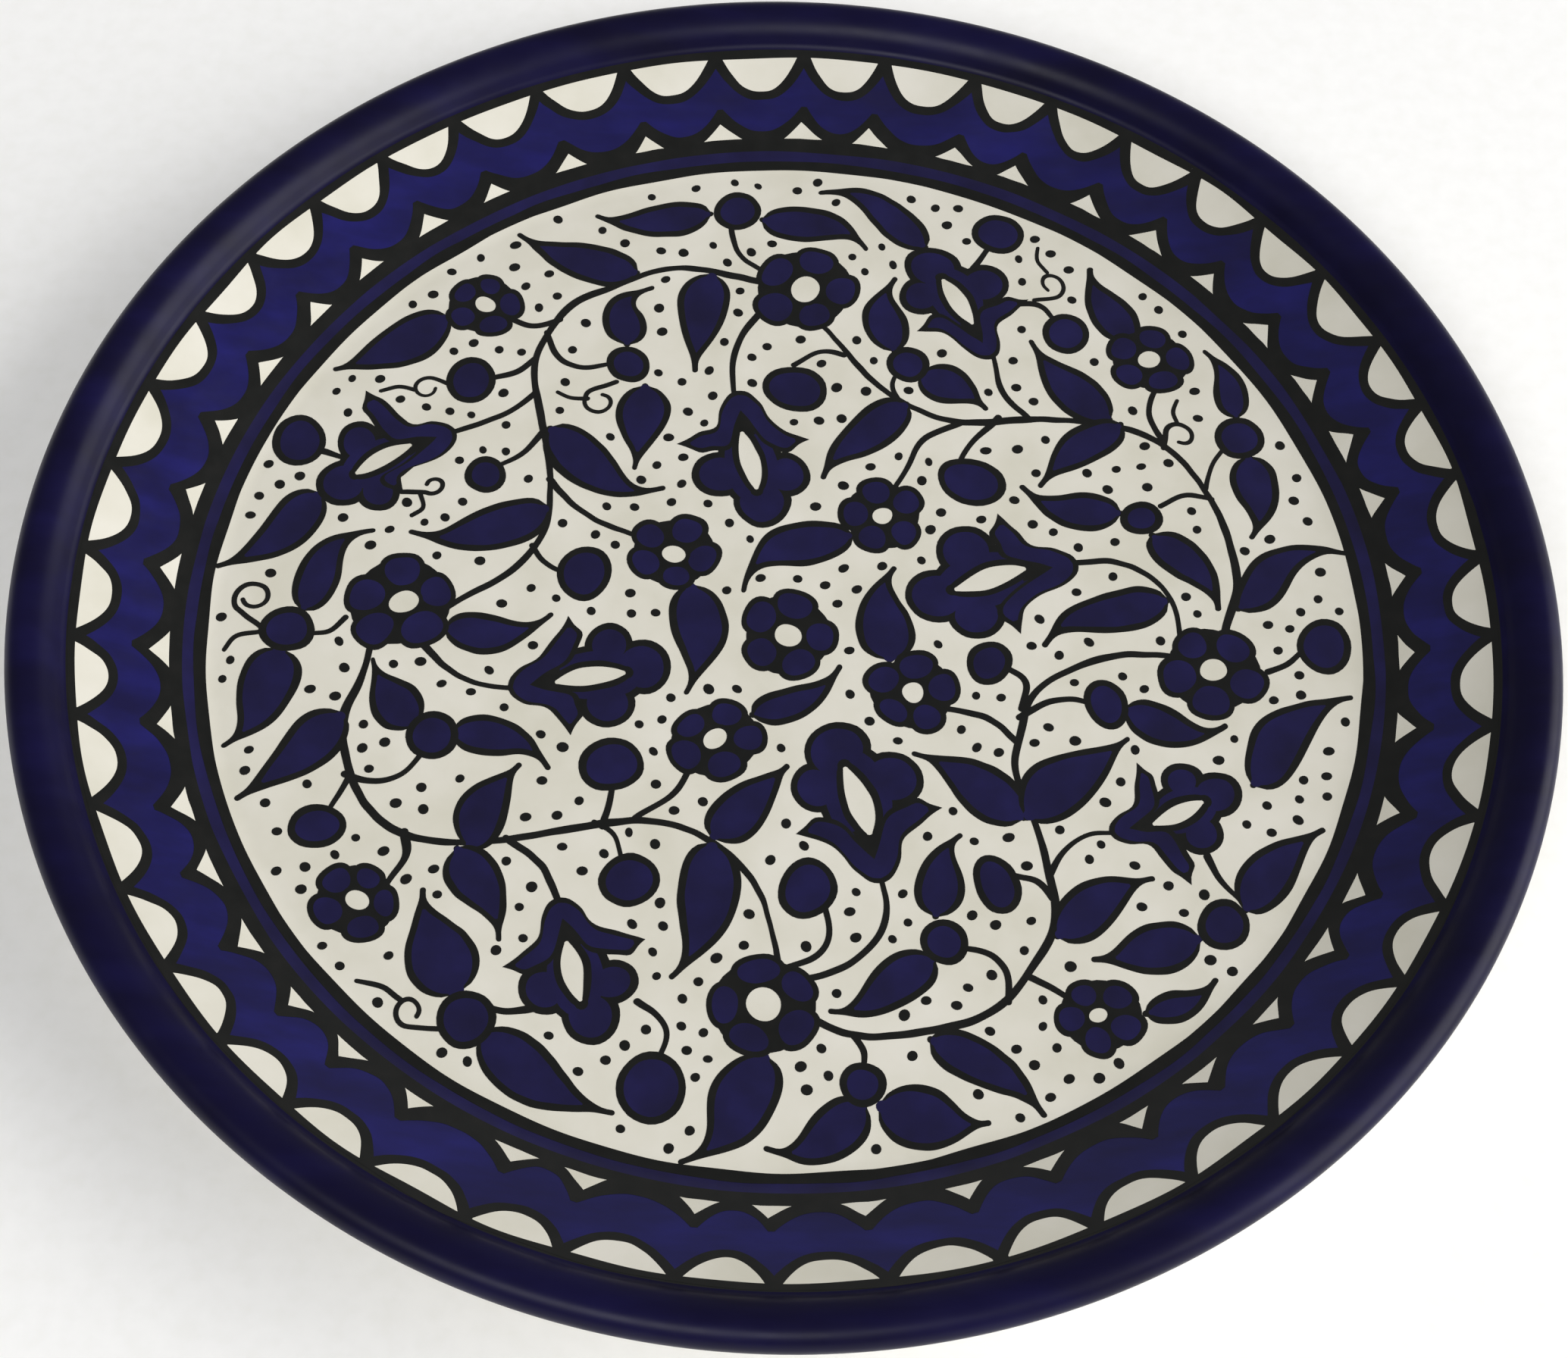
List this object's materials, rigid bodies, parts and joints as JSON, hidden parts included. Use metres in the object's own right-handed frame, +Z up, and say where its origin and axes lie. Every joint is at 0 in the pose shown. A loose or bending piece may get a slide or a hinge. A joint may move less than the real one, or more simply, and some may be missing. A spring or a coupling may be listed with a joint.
{
  "type": "ceramic plate",
  "caption": "Round earthenware plate with a flat well, sloping wall, rolled cobalt lip, turned foot ring and hand painted floral scroll decoration under clear glaze.",
  "frame": {"origin": "middle of the foot ring's resting face", "axes": "+Z up through the middle of the well, square to the foot's resting face; +X and +Y across the plate"},
  "size_m": [0.27, 0.27, 0.0238],
  "materials": {
    "fired_clay": "matt bare biscuit",
    "cream_glaze": "satin clear glaze over cream slip",
    "cobalt_glaze": "satin glaze over brushed cobalt",
    "black_pigment": "satin glaze over black line paint"
  },
  "bodies": {
    "root": {"clay_body": "fired_clay", "well_glaze": "cream_glaze", "well_inner_line": "black_pigment", "well_ring_glaze": "cobalt_glaze", "well_outer_line": "black_pigment", "wall_band_glaze": "cobalt_glaze", "border_line": "black_pigment", "rim_glaze": "cobalt_glaze", "back_glaze": "cream_glaze", "foot_recess_glaze": "cream_glaze"}
  },
  "joints": []
}
